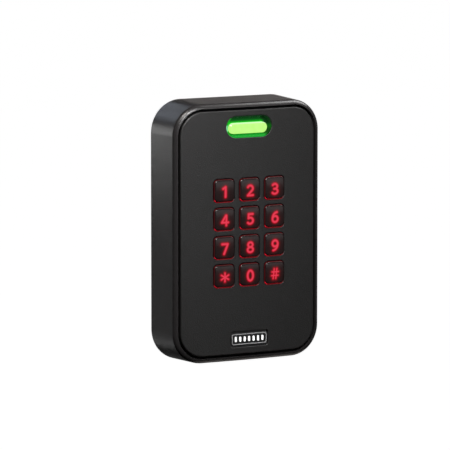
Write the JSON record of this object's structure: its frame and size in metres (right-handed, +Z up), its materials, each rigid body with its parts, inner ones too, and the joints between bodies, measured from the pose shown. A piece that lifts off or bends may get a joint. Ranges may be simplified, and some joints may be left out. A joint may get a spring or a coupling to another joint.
{
  "type": "keypad access reader",
  "caption": "Wall-mounted card and PIN reader: drafted black housing, crowned face plate, backlit 3 by 4 keypad of separate travelling keys, green status light bar.",
  "frame": {"origin": "on the wall plane, midway between the two wall box screw slots, which is the centre of the housing", "axes": "+Z up, +X to the right of someone facing the reader, -Y out of the wall towards the user"},
  "size_m": [0.0826, 0.0262, 0.1292],
  "materials": {
    "housing": "fine matte grain",
    "face_plate": "fine matte grain",
    "key": "gloss, backlit legend",
    "seal": "matte",
    "badge": "satin",
    "badge_marks": "white enamel",
    "light_pipe": "lit, polished",
    "light_lens": "green tinted, lit from the bar",
    "led": "clear cap",
    "silicone": "translucent, matte",
    "spring_steel": "bright",
    "circuit_board": "satin solder mask",
    "zinc_steel": "zinc plated",
    "copper": "enamelled copper wire",
    "spacer_brass": "turned",
    "connector": "moulded",
    "chip": "epoxy",
    "capacitor": "satin",
    "back_cover": "matte",
    "plate_steel": "galvanised",
    "security_steel": "black oxide"
  },
  "bodies": {
    "reader": {"housing": "housing", "face_plate": "face_plate", "face_gasket": "seal", "badge_plate": "badge", "badge_marks": "badge_marks", "light_pipe": "light_pipe", "light_lens": "light_lens", "status_leds": "led", "keypad_mat": "silicone", "snap_domes": "spring_steel", "backlight_leds": "led", "keypad_board": "circuit_board", "face_screws": "zinc_steel", "antenna_coil": "copper", "board_spacers": "spacer_brass", "reader_board": "circuit_board", "reader_board_screws": "zinc_steel", "board_header": "connector", "board_socket": "connector", "microcontroller": "chip", "radio_chip": "chip", "crystal": "spring_steel", "small_resistors": "chip", "voltage_regulator": "chip", "surge_suppressors": "chip", "filter_capacitors": "capacitor", "piezo_buzzer": "chip", "tamper_sensor": "chip", "cable_connector": "connector", "back_gasket": "seal", "back_cover": "back_cover", "back_cover_screws": "zinc_steel", "cable_grommet": "seal", "mounting_plate": "plate_steel", "security_screw": "security_steel"},
    "key_1": {"key_1": "key"},
    "key_2": {"key_2": "key"},
    "key_3": {"key_3": "key"},
    "key_4": {"key_4": "key"},
    "key_5": {"key_5": "key"},
    "key_6": {"key_6": "key"},
    "key_7": {"key_7": "key"},
    "key_8": {"key_8": "key"},
    "key_9": {"key_9": "key"},
    "key_star": {"key_star": "key"},
    "key_0": {"key_0": "key"},
    "key_hash": {"key_hash": "key"}
  },
  "joints": [
    {"name": "key_1_press", "type": "slide", "parent": "reader", "child": "key_1", "axis": [0, 1, 0], "range_m": [0, 0.001], "stiffness_N_per_m": 2000},
    {"name": "key_2_press", "type": "slide", "parent": "reader", "child": "key_2", "axis": [0, 1, 0], "range_m": [0, 0.001], "stiffness_N_per_m": 2000},
    {"name": "key_3_press", "type": "slide", "parent": "reader", "child": "key_3", "axis": [0, 1, 0], "range_m": [0, 0.001], "stiffness_N_per_m": 2000},
    {"name": "key_4_press", "type": "slide", "parent": "reader", "child": "key_4", "axis": [0, 1, 0], "range_m": [0, 0.001], "stiffness_N_per_m": 2000},
    {"name": "key_5_press", "type": "slide", "parent": "reader", "child": "key_5", "axis": [0, 1, 0], "range_m": [0, 0.001], "stiffness_N_per_m": 2000},
    {"name": "key_6_press", "type": "slide", "parent": "reader", "child": "key_6", "axis": [0, 1, 0], "range_m": [0, 0.001], "stiffness_N_per_m": 2000},
    {"name": "key_7_press", "type": "slide", "parent": "reader", "child": "key_7", "axis": [0, 1, 0], "range_m": [0, 0.001], "stiffness_N_per_m": 2000},
    {"name": "key_8_press", "type": "slide", "parent": "reader", "child": "key_8", "axis": [0, 1, 0], "range_m": [0, 0.001], "stiffness_N_per_m": 2000},
    {"name": "key_9_press", "type": "slide", "parent": "reader", "child": "key_9", "axis": [0, 1, 0], "range_m": [0, 0.001], "stiffness_N_per_m": 2000},
    {"name": "key_star_press", "type": "slide", "parent": "reader", "child": "key_star", "axis": [0, 1, 0], "range_m": [0, 0.001], "stiffness_N_per_m": 2000},
    {"name": "key_0_press", "type": "slide", "parent": "reader", "child": "key_0", "axis": [0, 1, 0], "range_m": [0, 0.001], "stiffness_N_per_m": 2000},
    {"name": "key_hash_press", "type": "slide", "parent": "reader", "child": "key_hash", "axis": [0, 1, 0], "range_m": [0, 0.001], "stiffness_N_per_m": 2000}
  ]
}
